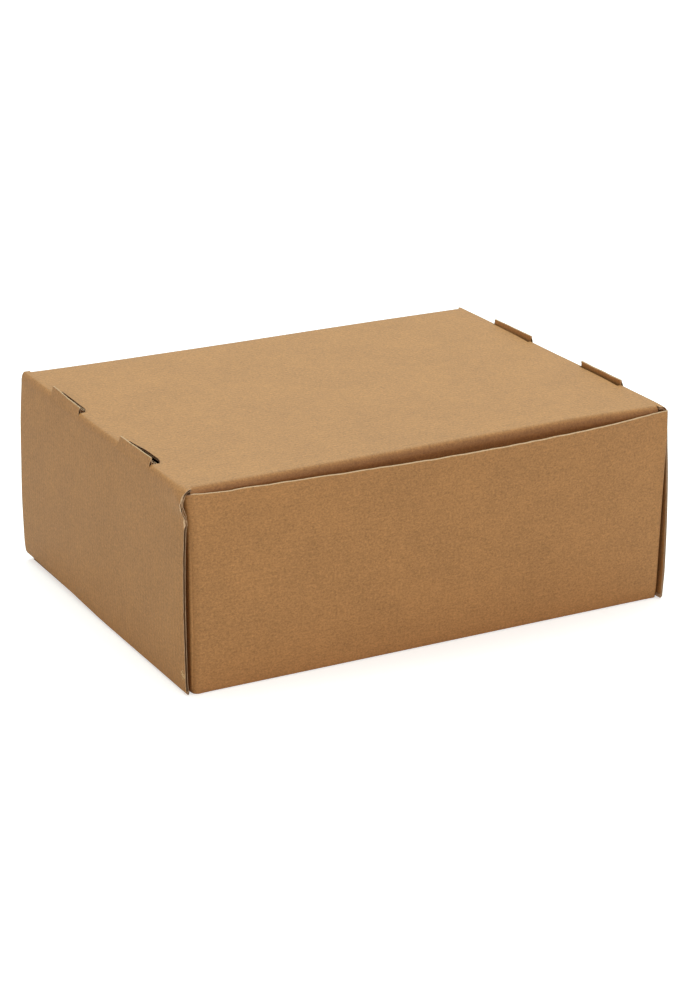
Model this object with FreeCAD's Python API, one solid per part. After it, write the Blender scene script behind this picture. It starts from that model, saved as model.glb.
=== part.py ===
import FreeCAD, Part
import math
import os

# Closed roll-end cardboard box with a tuck-in front flap, folded from one sheet of fluted board.
# It stands upside down, as it is shown: the lid lies on the floor and the base of the tray is on top.
# Sizes are in millimetres. The origin is the middle of the lid's underside, X runs along the width,
# the front flap faces -Y and Z points up.

# Board and folds
board = 1.5  # thickness of the board
crease = 1.2  # radius left on the inside of a fold
slack = 0.3  # air between two layers that lie side by side

# Overall sizes
height = 117.0  # floor to the top of the base
depth = 228.0  # foot of the front flap to the back wall
flap_width = 299.2  # front flap over its two corner folds

# Front flap
flap_drop = 4.0  # free edge of the flap below the top of the base
flap_bow = 11.0  # how far the free edge springs out in the middle
flap_ear_length = 70.0  # ears of the flap, from the front of the flap backwards

# Tray ears, on the front wall and on the back wall
tray_ear_length = 75.0  # from the wall's outer face

# Side walls
side_setback = 1.0  # raw front edges of the side walls behind the front of the flap
wall_bulge = 2.0  # fullest part of a side wall beyond its top fold
bulge_height = 55.0  # height of the fullest part
bulge_radius = 500.0  # sweep of the wall through its fullest part
rim_pull = 0.4  # rolled rim drawn in from the fullest part

# Locking slots, lips and tabs
slot_spacing = 97.0  # between the middles of the two slots of one side
slot_length = 42.0
lip_rise = 3.7  # lips above the base
tab_length = 38.0  # tabs of the inner side walls in the slots
tab_drop = 0.4  # top of the tabs below the top of the base

# Worked out from the sizes above
fold_radius = crease + board
front_plane = -depth / 2
back_plane = depth / 2
flap_half = flap_width / 2
rest_gap = board + slack

side_top = flap_half + slack + board
side_full = side_top + wall_bulge
side_rim = side_full - rim_pull
tray_half = flap_half - rest_gap
inner_wall_half = tray_half - board - slack - board
slot_edge = inner_wall_half - slack

rim_foot = rest_gap
ear_foot = rim_foot + board + crease + slack
ear_top = height - board - crease - slack
inner_wall_top = height - board - slack
tray_front = front_plane + rest_gap
tray_front_foot = board + 2 * slack
side_front = front_plane + side_setback

flap_foot = rest_gap
flap_top = height - flap_drop
hinge_y = front_plane + board / 2
hinge_z = board / 2
flap_ear_reach = ear_top - hinge_z

# Axes of the shared frame, and how close two points must be to count as one
X_AXIS = FreeCAD.Vector(1, 0, 0)
Y_AXIS = FreeCAD.Vector(0, 1, 0)
Z_AXIS = FreeCAD.Vector(0, 0, 1)
same_point = 1e-6


# Points of the three planes in which the sheet is folded
def across(u, v):
    return FreeCAD.Vector(u, 0, v)


def lengthwise(u, v):
    return FreeCAD.Vector(0, u, v)


def level(u, v):
    return FreeCAD.Vector(u, v, 0)


# A folded strip seen from its edge. The path follows the outer face, each fold turns clockwise,
# and every point of the path has the radius left on the inside of its fold.
def folded_strip(path, plane):
    outer = []
    inner = []
    count = len(path)
    for index in range(count):
        here = FreeCAD.Vector(path[index][0], path[index][1], 0)
        before = FreeCAD.Vector(path[max(index - 1, 0)][0], path[max(index - 1, 0)][1], 0)
        after = FreeCAD.Vector(path[min(index + 1, count - 1)][0], path[min(index + 1, count - 1)][1], 0)
        if index == 0 or index == count - 1:
            along = (after - before).normalize()
            inward = FreeCAD.Vector(along.y, -along.x, 0)
            outer.append([here])
            inner.append([here + inward * board])
            continue
        arriving = (here - before).normalize()
        leaving = (after - here).normalize()
        inside_radius = path[index][2]
        outside_radius = inside_radius + board
        run = outside_radius * math.tan(arriving.getAngle(leaving) / 2)
        start = here - arriving * run
        end = here + leaving * run
        centre = start + FreeCAD.Vector(arriving.y, -arriving.x, 0) * outside_radius
        middle = centre + (here - centre).normalize() * outside_radius
        arc = [start, middle, end]
        outer.append(arc)
        inner.append([centre + (point - centre) * (inside_radius / outside_radius) for point in arc])
    inner.reverse()
    for arc in inner:
        arc.reverse()
    edges = []
    last = None
    for stretch in outer + inner + [outer[0]]:
        points = [plane(point.x, point.y) for point in stretch]
        if last is not None and (points[0] - last).Length > same_point:
            edges.append(Part.LineSegment(last, points[0]).toShape())
        if len(points) == 3:
            edges.append(Part.Arc(points[0], points[1], points[2]).toShape())
        last = points[-1]
    return Part.Face(Part.Wire(edges))


# Pulls a face out to both sides of its plane, or between two places on the axis across it
def pull(face, direction, low, high):
    moved = face.copy()
    moved.translate(direction * low)
    return moved.extrude(direction * (high - low))


def block(low, high):
    size = [high[axis] - low[axis] for axis in range(3)]
    return Part.makeBox(size[0], size[1], size[2], FreeCAD.Vector(low[0], low[1], low[2]))


def both_sides(shape):
    return [shape, shape.mirror(FreeCAD.Vector(0, 0, 0), FreeCAD.Vector(1, 0, 0))]


# The point of the side wall's outer face that lies a given rise above the base, and the wall's
# own lean, so that a lip stands in line with the wall below it
def wall_point(rise):
    lean = wall_bulge / (height - bulge_height)
    return (side_top - lean * rise, height + rise)


# Side section of the tray: base, outer side walls, rolled rims and inner side walls
def side_section():
    right = [
        (side_top, height, crease),
        (side_full, bulge_height, bulge_radius),
        (side_rim, rim_foot, crease),
        (inner_wall_half, rim_foot, crease),
        (inner_wall_half, inner_wall_top, crease),
    ]
    left = [(-x, z, radius) for x, z, radius in reversed(right)]
    return folded_strip(left + right, across)


# Front to back: front wall of the tray, base, back wall and lid
def length_section():
    return folded_strip([
        (tray_front, tray_front_foot, crease),
        (tray_front, height, crease),
        (back_plane, height, crease),
        (back_plane, 0, crease),
        (hinge_y, 0, crease),
    ], lengthwise)


# Ears turned back into the side pockets. The facing is +1 for a wall at the front, -1 at the back.
def ear_section(half_width, plane_y, ear_length, facing):
    tip = plane_y + facing * ear_length
    return folded_strip([
        (facing * half_width, tip, crease),
        (facing * half_width, plane_y, crease),
        (-facing * half_width, plane_y, crease),
        (-facing * half_width, tip, crease),
    ], level)


# Base, side walls, rims and inner walls, cleared where the corner folds of the tray begin
def make_sides():
    sides = pull(side_section(), Y_AXIS, side_front, back_plane)
    beyond = 2 * fold_radius
    corner_half = tray_half + slack
    rim_fold = side_rim - fold_radius
    corner_starts = [
        (front_plane - beyond, tray_front + fold_radius),
        (back_plane - fold_radius, back_plane + beyond),
    ]
    for near, far in corner_starts:
        rim_end = block((-rim_fold, near, 0), (rim_fold, far, ear_foot))
        wall_end = block((-corner_half, near, ear_foot), (corner_half, far, height + beyond))
        sides = sides.cut([rim_end, wall_end])
    return sides


# Front wall, back wall and lid, with the ears of the two walls
def make_walls():
    walls = pull(length_section(), X_AXIS, -tray_half, tray_half)
    lid = block((-flap_half, hinge_y, 0), (flap_half, back_plane - fold_radius, board))
    nose = Part.makeCylinder(board / 2, flap_width, FreeCAD.Vector(-flap_half, hinge_y, hinge_z), X_AXIS)
    for plane_y, facing, corner_foot in [(tray_front, 1, tray_front_foot), (back_plane, -1, ear_foot)]:
        inner_y = plane_y + facing * fold_radius
        low_y = min(plane_y, inner_y)
        high_y = max(plane_y, inner_y)
        corner = block((tray_half - fold_radius, low_y, corner_foot), (tray_half, high_y, ear_top))
        walls = walls.cut(both_sides(corner))
        ears = pull(ear_section(tray_half, plane_y, tray_ear_length, facing), Z_AXIS, ear_foot, ear_top)
        walls = walls.fuse(ears)
    return walls.fuse([lid, nose])


# Slots cut through the base beside the folds, with the lips that stay in line with the side walls
def slot_middles():
    return [-slot_spacing / 2, slot_spacing / 2]


def make_slots():
    pieces = []
    for middle in slot_middles():
        low = (slot_edge, middle - slot_length / 2, ear_top)
        high = (side_full + slack, middle + slot_length / 2, height + lip_rise)
        pieces.extend(both_sides(block(low, high)))
    return pieces


def make_lips():
    foot_x, foot_z = wall_point(-2 * fold_radius)
    top_x, top_z = wall_point(lip_rise)
    lip_face = folded_strip([(top_x, top_z, crease), (foot_x, foot_z, crease)], across)
    pieces = []
    for middle in slot_middles():
        lip = pull(lip_face, Y_AXIS, middle - slot_length / 2, middle + slot_length / 2)
        pieces.extend(both_sides(lip))
    return pieces


# Tabs on top of the inner side walls, which lock up through the slots
def make_tabs():
    pieces = []
    for middle in slot_middles():
        low = (inner_wall_half, middle - tab_length / 2, ear_top - board)
        high = (inner_wall_half + board, middle + tab_length / 2, height - tab_drop)
        pieces.extend(both_sides(block(low, high)))
    return pieces


def make_folded_box():
    box = make_sides().fuse(make_walls())
    box = box.cut(make_slots())
    box = box.fuse(make_lips() + make_tabs())
    return box.removeSplitter()


# Outline of the flap's panel at one height, with the edge sprung out by the given bow
def panel_outline(z, bow):
    panel_half = flap_half - fold_radius
    edges = []
    corners = []
    for y in [front_plane, front_plane + board]:
        left = FreeCAD.Vector(-panel_half, y, z)
        right = FreeCAD.Vector(panel_half, y, z)
        corners.append((left, right))
        if bow > 0:
            edges.append(Part.Arc(left, FreeCAD.Vector(0, y - bow, z), right).toShape())
        else:
            edges.append(Part.LineSegment(left, right).toShape())
    left_cap, right_cap = [Part.LineSegment(front, back).toShape() for front, back in zip(*corners)]
    return Part.Wire([edges[0], right_cap, edges[1], left_cap])


# Front flap: a panel sprung out along its free edge, rounded corner folds and two tucked ears.
# Each ear is rounded off about the flap's own hinge line, so that it can swing out of its pocket.
def make_front_flap():
    panel = Part.makeLoft([panel_outline(flap_foot, 0), panel_outline(flap_top, flap_bow)], True, True)
    panel_half = flap_half - fold_radius
    corners = pull(ear_section(flap_half, front_plane, fold_radius, 1), Z_AXIS, flap_foot, flap_top)
    ears = pull(ear_section(flap_half, front_plane, flap_ear_length, 1), Z_AXIS, ear_foot, flap_top)
    hinge_end = FreeCAD.Vector(-flap_half, hinge_y, hinge_z)
    ears = ears.common(Part.makeCylinder(flap_ear_reach, flap_width, hinge_end, X_AXIS))
    window = block(
        (-panel_half, front_plane - fold_radius, 0),
        (panel_half, front_plane + flap_ear_length, height),
    )
    return panel.fuse([corners.cut(window), ears.cut(window)]).removeSplitter()


os.makedirs("parts", exist_ok=True)
NODES = {
    "folded_box": make_folded_box(),
    "front_flap": make_front_flap(),
}
for name, shape in NODES.items():
    shape.exportStep("parts/" + name + ".step")
    print(name, "solids", len(shape.Solids), "valid", shape.isValid(), "volume", round(shape.Volume))
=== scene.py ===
# %% [markdown]
# # A closed cardboard box
#
# This lesson dresses a roll-end mailing box: one die-cut sheet of brown fluted board, folded up without
# glue. It stands upside down, so the base of its tray is on top, and the front is the lid's tucked flap.
# The measured model is loaded first. It fixes every size and place, and the pieces made here replace it.

# %% Load the measured model
import math

import bpy
from mathutils import Matrix, Vector, noise


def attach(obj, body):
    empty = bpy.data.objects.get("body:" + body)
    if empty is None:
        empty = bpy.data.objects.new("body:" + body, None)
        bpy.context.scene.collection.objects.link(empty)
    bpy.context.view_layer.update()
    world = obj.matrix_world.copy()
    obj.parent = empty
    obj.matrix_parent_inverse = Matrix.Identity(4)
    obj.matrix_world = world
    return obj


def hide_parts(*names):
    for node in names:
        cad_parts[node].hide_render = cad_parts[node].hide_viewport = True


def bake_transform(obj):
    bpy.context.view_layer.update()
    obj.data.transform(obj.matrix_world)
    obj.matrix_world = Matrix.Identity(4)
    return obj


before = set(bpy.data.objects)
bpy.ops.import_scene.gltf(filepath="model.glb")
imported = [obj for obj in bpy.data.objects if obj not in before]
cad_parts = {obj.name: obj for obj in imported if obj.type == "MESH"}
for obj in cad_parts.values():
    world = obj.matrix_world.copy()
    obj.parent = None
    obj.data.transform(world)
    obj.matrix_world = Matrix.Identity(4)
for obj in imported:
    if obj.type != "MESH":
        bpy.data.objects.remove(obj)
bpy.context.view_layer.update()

# %% [markdown]
# ## What the board is
#
# Fluted board is two flat paper liners with a wavy sheet between them. Here it is 1.5 mm thick, and its
# waves are 3.3 mm apart. All lengths below are in millimetres and turn into metres when a mesh is made.

# %% The sheet's own sizes and the box's planes
MM = 0.001
BOARD = 1.5
LINER = 0.26
FLUTE_PITCH = 3.3
FOLD_RADIUS = 2.7  # outside of a soft fold
HEIGHT = 117.0
FRONT = -114.0
BACK = 114.0
TRAY_FRONT = -112.2
SLEEVE_FRONT = -113.0
HINGE = Vector((0.0, -113.25, 0.75))
print("board", BOARD, "mm, box", HEIGHT, "mm high")

# %% [markdown]
# ## Measured places and small unevenness
#
# A folded box is nowhere quite flat, and a formula would make it too perfect. So measured places are kept in
# short tables and read back smoothly, and what is too small to measure comes from smooth noise.


# %% Blend, ease, read a table, wander
def between(a, b, t):
    return a + (b - a) * t


def ease(t):
    t = max(0.0, min(1.0, t))
    return t * t * (3 - 2 * t)


def along(table, x):
    """Reads a smooth value from a table of (place, value), with the slope eased through each place."""
    if x <= table[0][0]:
        return table[0][1]
    if x >= table[-1][0]:
        return table[-1][1]
    k = max(n for n in range(len(table) - 1) if table[n][0] < x)
    (x0, y0), (x1, y1) = table[k], table[k + 1]
    before = table[max(k - 1, 0)]
    after = table[min(k + 2, len(table) - 1)]
    span = x1 - x0
    slope0 = (y1 - before[1]) / (x1 - before[0])
    slope1 = (after[1] - y0) / (after[0] - x0)
    t = (x - x0) / span
    return ((2 * t ** 3 - 3 * t ** 2 + 1) * y0 + (t ** 3 - 2 * t ** 2 + t) * span * slope0
            + (3 * t ** 2 - 2 * t ** 3) * y1 + (t ** 3 - t ** 2) * span * slope1)


def wander(x, y, z, size, seed):
    """A smooth random value from -1 to 1 that changes over the given size in millimetres."""
    return noise.noise(Vector((x / size + seed, y / size - seed, z / size + 2 * seed)))


def wander_at(p, size, seed):
    return wander(p.x, p.y, p.z, size, seed)


def lengths_along(line, start=0.0):
    """How far along a line each of its points lies."""
    runs = [start]
    for a, b in zip(line, line[1:]):
        runs.append(runs[-1] + math.hypot(b[0] - a[0], b[1] - a[1]))
    return runs


print("a table from 0 to 1, read halfway", along([(0, 0.0), (10, 1.0)], 5))

# %% [markdown]
# ## One sheet, many patches
#
# Every panel is a patch: a grid of points on the board's outer face. Each point knows which way the board's
# thickness lies and where it was on the flat sheet. Blocks would be simpler, but every fold would show a seam.
# The flat place becomes the UV, so grain and flutes run round each fold.


# %% A patch from rows of points
def facing_in(rows, flip):
    """Unit vectors from the outer face into the board, from the points' neighbours."""
    high = len(rows)
    wide = len(rows[0])
    inward = []
    for i in range(high):
        line = []
        for j in range(wide):
            du = rows[min(i + 1, high - 1)][j] - rows[max(i - 1, 0)][j]
            dv = rows[i][min(j + 1, wide - 1)] - rows[i][max(j - 1, 0)]
            n = du.cross(dv)
            if n.length < 1e-9:
                n = Vector((0, 0, 1))
            line.append(n.normalized() * (-1 if flip else 1))
        inward.append(line)
    return inward


def patch(rows, flat, flip=False, keep=None, wear_and_shade=None):
    """The keep function says which squares of the grid are board, and wear_and_shade is how much each point is
    darkened: a little for worn folds, more as painted shade.
    """
    return {"rows": rows, "flat": flat, "inward": facing_in(rows, flip), "flip": flip,
            "keep": keep or (lambda i, j: True), "wear_and_shade": wear_and_shade or [[0.0] * len(row) for row in rows]}


level_rows = [[Vector((x, y, 0.0)) for x in (0, 1)] for y in (0, 1)]
print("up or down into the board", [facing_in(level_rows, flip)[0][0].z for flip in (False, True)])

# %% [markdown]
# ## Weld the patches
#
# Where panels meet at a fold the sheet goes on, so points that lie together become one. A coarse grid of cells
# finds them fast, and the sum of their inward directions rounds the fold.

# %% Weld patches into one open surface
CLOSER = 0.03


def find_or_add(points, cells, p):
    """The number of the point that already lies at a place, or of the new one."""
    key = tuple(round(c / CLOSER) for c in p)
    for a in (-1, 0, 1):
        for b in (-1, 0, 1):
            for c in (-1, 0, 1):
                k = cells.get((key[0] + a, key[1] + b, key[2] + c))
                if k is not None and (points[k] - p).length < CLOSER:
                    return k
    cells[key] = len(points)
    points.append(p.copy())
    return len(points) - 1


def weld(patches):
    points, inward, wear_and_shade, faces, flats = [], [], [], [], []
    cells = {}
    for piece in patches:
        rows = piece["rows"]
        index = {}

        def place(a, b):
            if (a, b) not in index:
                index[(a, b)] = k = find_or_add(points, cells, rows[a][b])
                if k == len(inward):
                    inward.append(piece["inward"][a][b].copy())
                    wear_and_shade.append(piece["wear_and_shade"][a][b])
                else:
                    inward[k] = inward[k] + piece["inward"][a][b]
                    wear_and_shade[k] = max(wear_and_shade[k], piece["wear_and_shade"][a][b])
            return index[(a, b)]

        for i in range(len(rows) - 1):
            for j in range(len(rows[0]) - 1):
                if not piece["keep"](i, j):
                    continue
                corners = ((i, j), (i, j + 1), (i + 1, j + 1), (i + 1, j))
                ring = [(place(a, b), piece["flat"][a][b]) for a, b in corners]
                ring = [item for k, item in enumerate(ring) if k == 0 or item[0] != ring[k - 1][0]]
                if ring[0][0] == ring[-1][0]:
                    ring.pop()
                if len(ring) < 3:
                    continue
                if piece["flip"]:
                    ring.reverse()
                faces.append([item[0] for item in ring])
                flats.append([item[1] for item in ring])
    return points, [n.normalized() for n in inward], wear_and_shade, faces, flats


print("points closer than", CLOSER, "mm are welded")

# %% [markdown]
# ## Raw edges
#
# Where the sheet was cut, the two liners stand out and the wavy sheet sits a little behind them. Cut along the
# flutes, there is only a dark slit. So an edge gets a small section of its own: a lip, a hollow and a lip. A
# picture of an edge would look flat from close by.

# %% Sections of a raw edge, as (share of the thickness, depth behind the cut)
ACROSS_FLUTES = [(0.17, 0.0), (0.20, 0.6), (0.26, 0.9), (0.45, 1.1),
                 (0.55, 1.1), (0.74, 0.9), (0.80, 0.6), (0.83, 0.0)]
ALONG_FLUTES = [(0.17, 0.0), (0.19, 0.9), (0.24, 1.4), (0.44, 1.8),
                (0.56, 1.8), (0.76, 1.4), (0.81, 0.9), (0.83, 0.0)]
CRUSHED = [(0.16, 0.0), (0.24, 0.08), (0.32, 0.12), (0.45, 0.03),
           (0.55, 0.0), (0.68, 0.14), (0.75, 0.06), (0.84, 0.0)]
SPLIT = [(0.22, 0.0), (0.24, 2.4), (0.42, 2.6), (0.46, 0.4),
         (0.58, 0.3), (0.62, 2.6), (0.82, 2.4), (0.85, 0.1)]
LIPS_FROM = HEIGHT + 1.5
LIP_SQUEEZE = 0.28
EDGE_SQUEEZE = 0.10
print("points in a raw edge's section", len(ACROSS_FLUTES))

# %% [markdown]
# ## From one skin to a board
#
# The welded surface is only the outer liner. The inner one is the same net, moved one thickness inwards. The
# mesh grows as plain lists, so that edges can be added. A side that only one face uses is a cut.

# %% The two skins, and the edges where the sheet was cut
OUTER, INNER, RAW_EDGE = 0, 1, 2
INNER_SHIFT = 900.0  # keeps the inner liner's pattern apart from the outer one's


def add_face(board, ring, kind, places):
    board["loops"].append(ring)
    board["kinds"].append(kind)
    board["coords"].append(places)


def two_skins(patches):
    points, inward, wear_and_shade, faces, flats = weld(patches)
    count = len(points)
    board = {"points": points, "inward": inward, "faces": faces, "count": count, "wear_and_shade_levels": wear_and_shade + wear_and_shade,
             "verts": [p * MM for p in points] + [(p + n * BOARD) * MM for p, n in zip(points, inward)],
             "loops": [], "kinds": [], "coords": [], "middles": [], "around": {}, "flat_of": {}}
    for f, (face, flat) in enumerate(zip(faces, flats)):
        add_face(board, face, OUTER, flat)
        add_face(board, [v + count for v in reversed(face)], INNER,
                 [(a + INNER_SHIFT, b) for a, b in reversed(flat)])
        board["middles"].append(sum((points[v] for v in face), Vector()) / len(face))
        for v, place in zip(face, flat):
            board["flat_of"][v] = place
            board["around"].setdefault(v, []).append(f)
    return board


def find_rim(faces):
    uses = {}
    for f, face in enumerate(faces):
        for k, a in enumerate(face):
            b = face[(k + 1) % len(face)]
            uses.setdefault((min(a, b), max(a, b)), []).append((f, k))
    return {edge: where[0] for edge, where in uses.items() if len(where) == 1}


print("edges of one square that are cuts", len(find_rim([[0, 1, 2, 3]])))

# %% [markdown]
# ## The section at each place of a cut
#
# A knife leaves a crisp edge, but handling crushes it, tears fibres and, at a hard knock, splits the liners.
# Each place of the cut is asked which of these happened there. One section all round would look moulded.


# %% One place of a cut
def nowhere(p):
    return 0.0


def behind_cut(board, v, ends):
    """The way into the sheet from the cut at one point, and whether the cut crosses the flutes."""
    points, n, flat_of = board["points"], board["inward"][v], board["flat_of"]
    run = points[ends[0]] - points[ends[-1]]
    run.normalize()
    back = sum((board["middles"][f] - points[v] for f in board["around"][v]), Vector())
    back -= run * back.dot(run)
    back -= n * back.dot(n)
    back.normalize()
    lie = Vector(flat_of[ends[0]]) - Vector(flat_of[ends[-1]])
    return back, abs(lie.y) > abs(lie.x)


def cut_section(board, v, back, across, cut):
    """Adds the raw edge's points at one place, from the outer liner to the inner one."""
    p, n, verts = board["points"][v], board["inward"][v], board["verts"]
    inner = v + board["count"]
    section = ACROSS_FLUTES if across else ALONG_FLUTES
    squeeze, thick = 0.0, BOARD
    if cut["crushed"](p):
        section = CRUSHED
        squeeze = LIP_SQUEEZE if p.z > LIPS_FROM else EDGE_SQUEEZE
        verts[v] = (p + n * squeeze) * MM
        verts[inner] = (p + n * (BOARD - squeeze)) * MM
    torn = cut["ragged"] * (wander_at(p, 1.7, 3.1) + 0.7 * wander_at(p, 5.0, 6.1))
    if cut["plain"](p):
        section = [(share, 0.0) for share, depth in section]
        torn = 0.0
    open_up = cut["split"](p)
    if open_up > 0:
        middle = 0.22 * wander_at(p, 2.2, 5.5)
        section = [(between(a, c + (middle if 0.3 < c < 0.7 else 0.0), open_up), between(b, d, open_up))
                   for (a, b), (c, d) in zip(section, SPLIT)]
        thick = BOARD * (1 + 0.55 * open_up)
        verts[v] = (p + (back - n * 0.6) * open_up * 1.1 * wander_at(p, 2.6, 7.7)) * MM
        verts[inner] = (p + n * thick + back * open_up * (0.5 + 0.9 * wander_at(p, 2.1, 9.9))) * MM
    line = []
    for share, depth in section:
        line.append(len(verts))
        loose = torn if depth < 0.2 else 0.0
        if open_up > 0 and depth < 0.7:
            loose += open_up * 1.1 * wander_at(p, 2.6, 7.7 + 3 * share)
        verts.append((p + n * between(squeeze, thick - squeeze, share) + back * (depth + loose)) * MM)
        # Pale cuts get 0.3 as painted light from above, split liners get less where they open, and the other cuts
        # get 1.0, full painted shade.
        board["wear_and_shade_levels"].append(0.3 if cut["pale"](p) else 1.0 - (open_up if depth < 1 else 0.0))
    return line


print("a crushed edge is thinner by", 2 * EDGE_SQUEEZE, "mm, and a lip by", 2 * LIP_SQUEEZE)

# %% [markdown]
# ## The wavy middle sheet
#
# In an edge cut across the flutes the middle sheet is a sine wave between the liners. A ribbon with a real
# thickness follows it inside the hollow. Its phase comes from the flat sheet, so that it agrees with the faint
# bars on the paper.

# %% A ribbon of flutes along the cuts that cross them
RIBBON_STEP = 0.42
RIBBON_HALF = 0.09
RIBBON_BACK = 1.4


def add_waves(board, rim, edge_of):
    points, inward, verts = board["points"], board["inward"], board["verts"]
    swing = (BOARD - 2 * LINER) / 2 - 0.10
    for a, b in rim:
        run = (points[b] - points[a]).length
        if run < 0.2 or not (edge_of[a]["across"] and edge_of[b]["across"]):
            continue
        pieces = max(2, round(run / RIBBON_STEP))
        last = None
        for s in range(pieces + 1):
            t = s / pieces
            n = inward[a].lerp(inward[b], t)
            back = edge_of[a]["back"].lerp(edge_of[b]["back"], t)
            place = between(board["flat_of"][a][1], board["flat_of"][b][1], t)
            lift = swing * math.sin(2 * math.pi * place / FLUTE_PITCH)
            base = points[a].lerp(points[b], t) + n * (BOARD / 2 + lift)
            hide = 0.16 + 0.05 * wander(place, 0, 0, 2.3, 8.0)
            ring = []
            for deep, aside in ((hide, -RIBBON_HALF), (hide, RIBBON_HALF),
                                (RIBBON_BACK, RIBBON_HALF), (RIBBON_BACK, -RIBBON_HALF)):
                ring.append(len(verts))
                verts.append((base + back * deep + n * aside) * MM)
                # The flutes in the hollow get 0.6 of the cut edges' darker tone.
                board["wear_and_shade_levels"].append(0.6)
            if last:
                for u, v in ((0, 1), (1, 2), (3, 0)):
                    add_face(board, [last[u], last[v], ring[v], ring[u]], RAW_EDGE, [(0.0, place)] * 4)
            last = ring


print("ribbon pieces along 10 mm of cut", round(10 / RIBBON_STEP))

# %% [markdown]
# ## Close the board and make the mesh
#
# Strips between neighbouring sections close the board all round. Liners are smooth and raw edges flat-shaded,
# because a knife leaves no rounding. Each face's kind picks its paper, and wear_and_painted_shade tells how much
# it is darkened: a little along worn folds, more as painted shade on the front wall behind the flap and on the
# cuts.


# %% Turn patches into board
def board_mesh(name, patches, crushed=nowhere, split=nowhere, ragged=0.10, pale=nowhere, plain=nowhere,
               waves=True):
    cut = {"crushed": crushed, "split": split, "ragged": ragged, "pale": pale, "plain": plain}
    board = two_skins(patches)
    faces, count, flat_of = board["faces"], board["count"], board["flat_of"]
    rim = find_rim(faces)
    beside = {}
    for a, b in rim:
        beside.setdefault(a, []).append(b)
        beside.setdefault(b, []).append(a)
    edge_of = {}
    for v, ends in beside.items():
        back, across = behind_cut(board, v, ends)
        edge_of[v] = {"line": cut_section(board, v, back, across, cut), "back": back, "across": across}
    for f, k in rim.values():
        a, b = faces[f][k], faces[f][(k + 1) % len(faces[f])]
        left = [a] + edge_of[a]["line"] + [a + count]
        right = [b] + edge_of[b]["line"] + [b + count]
        for s in range(len(left) - 1):
            add_face(board, [left[s], left[s + 1], right[s + 1], right[s]], RAW_EDGE,
                     [flat_of[a], flat_of[a], flat_of[b], flat_of[b]])
    if waves:
        add_waves(board, rim, edge_of)
    thing = make_thing(name, board, rim)
    lowest = min(vertex.co.z for vertex in thing.data.vertices) / MM
    print(name, "faces", len(thing.data.polygons), "raw edge steps", len(rim), "lowest point", round(lowest, 1))
    return thing


def make_thing(name, board, rim):
    count, kinds = board["count"], board["kinds"]
    mesh = bpy.data.meshes.new(name)
    mesh.from_pydata(board["verts"], [], board["loops"])
    mesh.polygons.foreach_set("material_index", kinds)
    layer = mesh.uv_layers.new(name="flat_sheet")
    layer.data.foreach_set("uv", [c * MM for ring in board["coords"] for place in ring for c in place])
    worn_and_shaded = mesh.attributes.new("wear_and_painted_shade", "FLOAT", "POINT")
    worn_and_shaded.data.foreach_set("value", board["wear_and_shade_levels"])
    mesh.update()
    mesh.polygons.foreach_set("use_smooth", [kind != RAW_EDGE for kind in kinds])
    sharp = mesh.attributes.get("sharp_edge") or mesh.attributes.new("sharp_edge", "BOOLEAN", "EDGE")
    for edge in mesh.edges:
        a, b = sorted(edge.vertices)
        if (a, b) in rim or (a - count, b - count) in rim:
            sharp.data[edge.index].value = True
    thing = bpy.data.objects.new(name, mesh)
    bpy.context.scene.collection.objects.link(thing)
    return thing


print("kinds of face: outer liner, inner liner, raw edge")

# %% [markdown]
# ## The sleeve: base, side walls, rolled rims and inner walls
#
# In section this is one long strip that turns down at each side, rolls under at the rim and comes up again
# inside. The fold beside the base is crisp above and soft below, so its section is a quarter of an ellipse.
# The walls lean and bulge by themselves, so each side reads its own outline, front and back.

# %% How far out each side wall stands at a height, at its front edge and at its back edge
LEFT_FRONT_WALL = [(2, 150.6), (10, 150.9), (30, 151.1), (55, 151.2), (78, 150.8), (90, 150.2), (97, 149.8),
                   (101, 150.2), (104, 151.4), (107.5, 152.2), (111, 151.9), (117, 149.9)]
LEFT_WALL_BEHIND = [(2, 150.6), (17, 152.0), (45, 152.3), (80, 151.4), (111, 150.2), (117, 149.8)]
LEFT_BACK_WALL = [(2, 151.6), (9, 152.7), (22, 153.1), (41, 153.3), (60, 152.9),
                  (89, 152.1), (111, 150.6), (117, 150.2)]
RIGHT_FRONT_WALL = [(2, 152.4), (10, 153.4), (17, 154.1), (37, 154.4), (57, 154.6), (76, 154.4),
                    (92, 153.7), (104, 153.1), (111, 152.7), (117, 151.9)]
RIGHT_BACK_WALL = [(2, 151.9), (20, 153.0), (50, 153.2), (80, 152.4), (111, 151.2), (117, 150.8)]
WALLS = {-1: (LEFT_FRONT_WALL, LEFT_WALL_BEHIND, LEFT_BACK_WALL),
         1: (RIGHT_FRONT_WALL, RIGHT_FRONT_WALL, RIGHT_BACK_WALL)}


def wall_out(side, y, z):
    """The knocked front edge keeps to its own outline, which fades into the sound wall behind it."""
    edge, behind, back = WALLS[side]
    t = (y - SLEEVE_FRONT) / (BACK - SLEEVE_FRONT)
    sound = between(along(behind, z), along(back, z), ease(t) * 0.5 + t * 0.5)
    near = math.exp(-max(y - SLEEVE_FRONT, 0.0) / 16.0)
    return between(sound, along(edge, z), near)


def fold_size(side, y):
    """Half-widths of the side fold's section, level and upright. The crushed front corner opens it out."""
    near = math.exp(-max(y - SLEEVE_FRONT, 0.0) / 7.0)
    if side < 0:
        return between(2.4, 7.7, near), between(5.6, 10.5, near)
    return between(2.6, 4.4, near), between(5.2, 5.6, near)


print("walls at half height", [round(wall_out(side, 0.0, HEIGHT / 2), 1) for side in (-1, 1)])

# %% [markdown]
# ## Where the slots are
#
# Two slots beside each side fold let the locking tabs through. A boolean cut would break the welded folds, so
# whole squares of the grid are left out, and a row is laid through every slot end and fold.

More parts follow.
